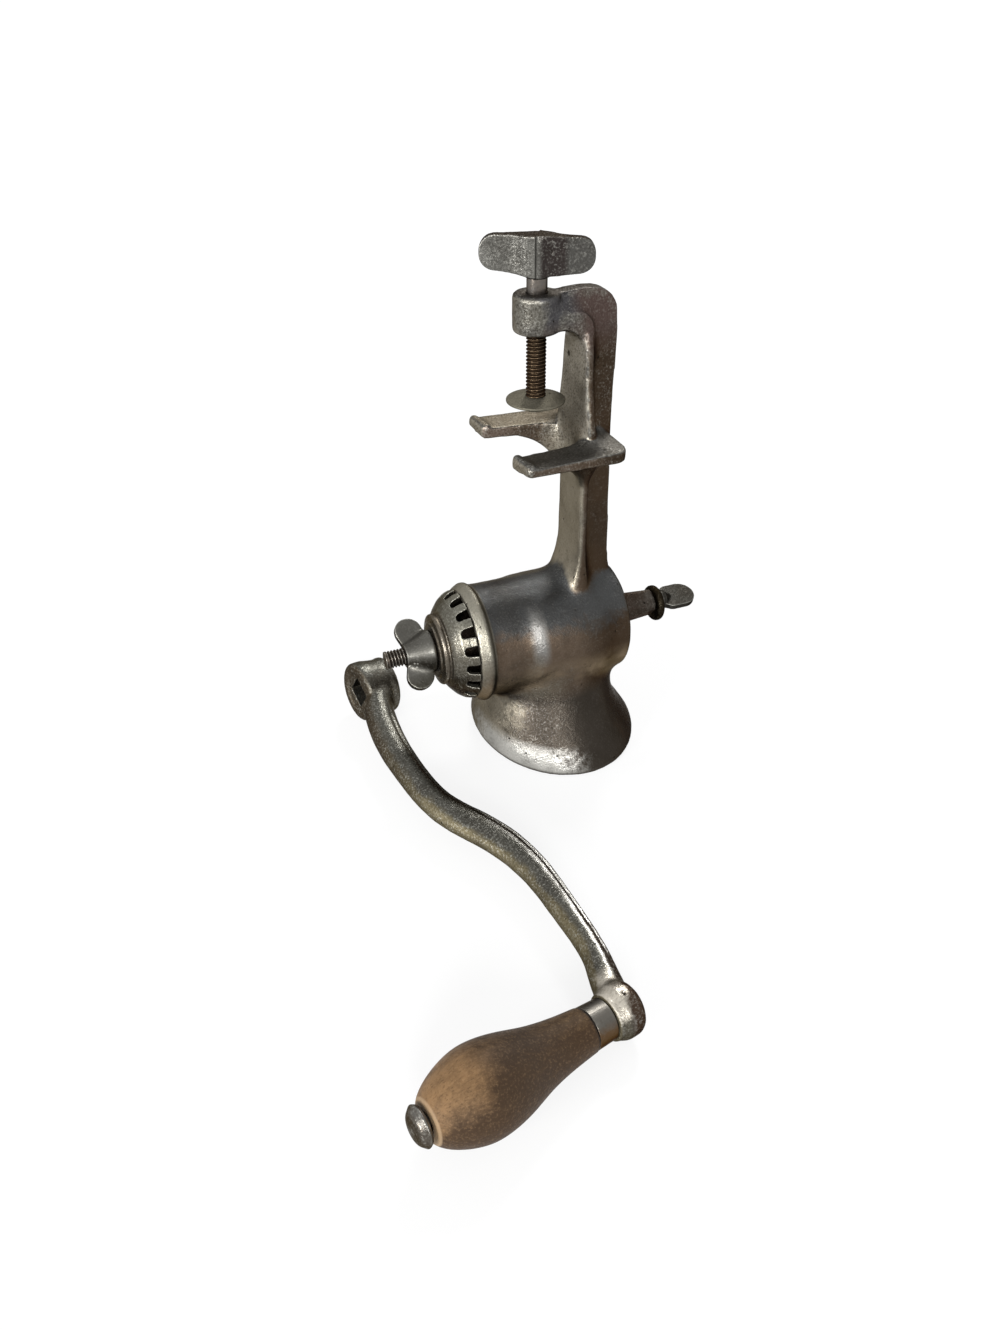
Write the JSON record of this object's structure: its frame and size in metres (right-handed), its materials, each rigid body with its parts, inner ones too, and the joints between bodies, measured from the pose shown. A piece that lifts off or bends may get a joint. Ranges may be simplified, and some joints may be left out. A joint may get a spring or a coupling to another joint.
{
  "type": "hand-cranked meat grinder",
  "caption": "Old table-clamped hand meat grinder stored upside down on its hopper rim, with its bell cutter, wing nut and clamp fitted and its wooden-handled crank laid beside it.",
  "frame": {"origin": "centre of the oval hopper mouth, in the plane of its rim, which is the floor it stands on", "axes": "+X along the feed axis from the cutter to the crank's square, +Z from the hopper's rim up to the table clamp, +Y to the left of a viewer looking along +X"},
  "size_m": [0.2036, 0.2497, 0.2233],
  "materials": {
    "casting": "worn tin plate over pitted grey iron, brown in the hollows",
    "shaft": "dark slate iron with orange-brown rust on its lower flat",
    "stud": "dull steel, oil and rust in the thread roots",
    "cutter": "dull yellowish-grey tinned steel, brown at the hub",
    "wing_nut": "smooth dark steel-grey",
    "washer": "nearly black, oily",
    "thumb_screw": "smooth dark grey, worn bright on its edge",
    "pad": "dull olive-grey steel",
    "screw": "brown oily rust in the threads, bright plain neck",
    "wing": "sand-cast grey iron with a sparkling grain",
    "crank": "worn tin plate over iron, bright on the ridge",
    "pin": "worn steel",
    "ferrule": "polished slate steel turning orange-brown",
    "wood": "mid-brown hardwood, varnish worn through, dark stains"
  },
  "bodies": {
    "grinder": {"body_casting": "casting"},
    "feed": {"feed_screw": "shaft", "cutter_stud": "stud"},
    "cutter": {"rotary_cutter": "cutter"},
    "wing_nut": {"cutter_wing_nut": "wing_nut"},
    "washer": {"thumb_screw_washer": "washer"},
    "thumb_screw": {"crank_thumb_screw": "thumb_screw"},
    "pad": {"clamp_pad": "pad"},
    "screw": {"clamp_screw": "screw", "clamp_wing": "wing"},
    "crank": {"crank_arm": "crank", "grip_pin": "pin"},
    "grip": {"grip_ferrule": "ferrule", "grip_wood": "wood"}
  },
  "joints": [
    {"name": "feed_turn", "type": "hinge", "parent": "grinder", "child": "feed", "pos_m": [0, 0, 0.0529], "axis": [1, 0, 0], "continuous": true},
    {"name": "cutter_off", "type": "slide", "parent": "feed", "child": "cutter", "axis": [-1, 0, 0], "range_m": [0, 0.008]},
    {"name": "nut_turn", "type": "hinge", "parent": "cutter", "child": "wing_nut", "pos_m": [-0.065, 0, 0.0529], "axis": [-1, 0, 0], "range_deg": [0, 2045]},
    {"name": "washer_off", "type": "slide", "parent": "feed", "child": "washer", "axis": [1, 0, 0], "range_m": [0, 0.008]},
    {"name": "thumb_screw_turn", "type": "hinge", "parent": "washer", "child": "thumb_screw", "pos_m": [0.06, 0, 0.0529], "axis": [1, 0, 0], "range_deg": [0, 2272]},
    {"name": "pad_lift", "type": "slide", "parent": "grinder", "child": "pad", "axis": [0, 0, 1], "range_m": [0, 0.024]},
    {"name": "clamp_screw_turn", "type": "hinge", "parent": "pad", "child": "screw", "pos_m": [-0.0098, 0, 0.2], "axis": [0, 0, 1], "range_deg": [0, 6130]},
    {"name": "crank_away", "type": "slide", "parent": "grinder", "child": "crank", "axis": [-1, 0, 0], "range_m": [0, 0.06]},
    {"name": "grip_turn", "type": "hinge", "parent": "crank", "child": "grip", "pos_m": [-0.056, -0.1734, 0.0111], "axis": [-0.9665, -0.241, 0.0889], "continuous": true}
  ],
  "couplings": [
    {"joint": "nut_turn", "follows": "cutter_off", "rad_per_m": 4452.7},
    {"joint": "thumb_screw_turn", "follows": "washer_off", "rad_per_m": 4947.4},
    {"joint": "clamp_screw_turn", "follows": "pad_lift", "rad_per_m": 4452.7}
  ]
}
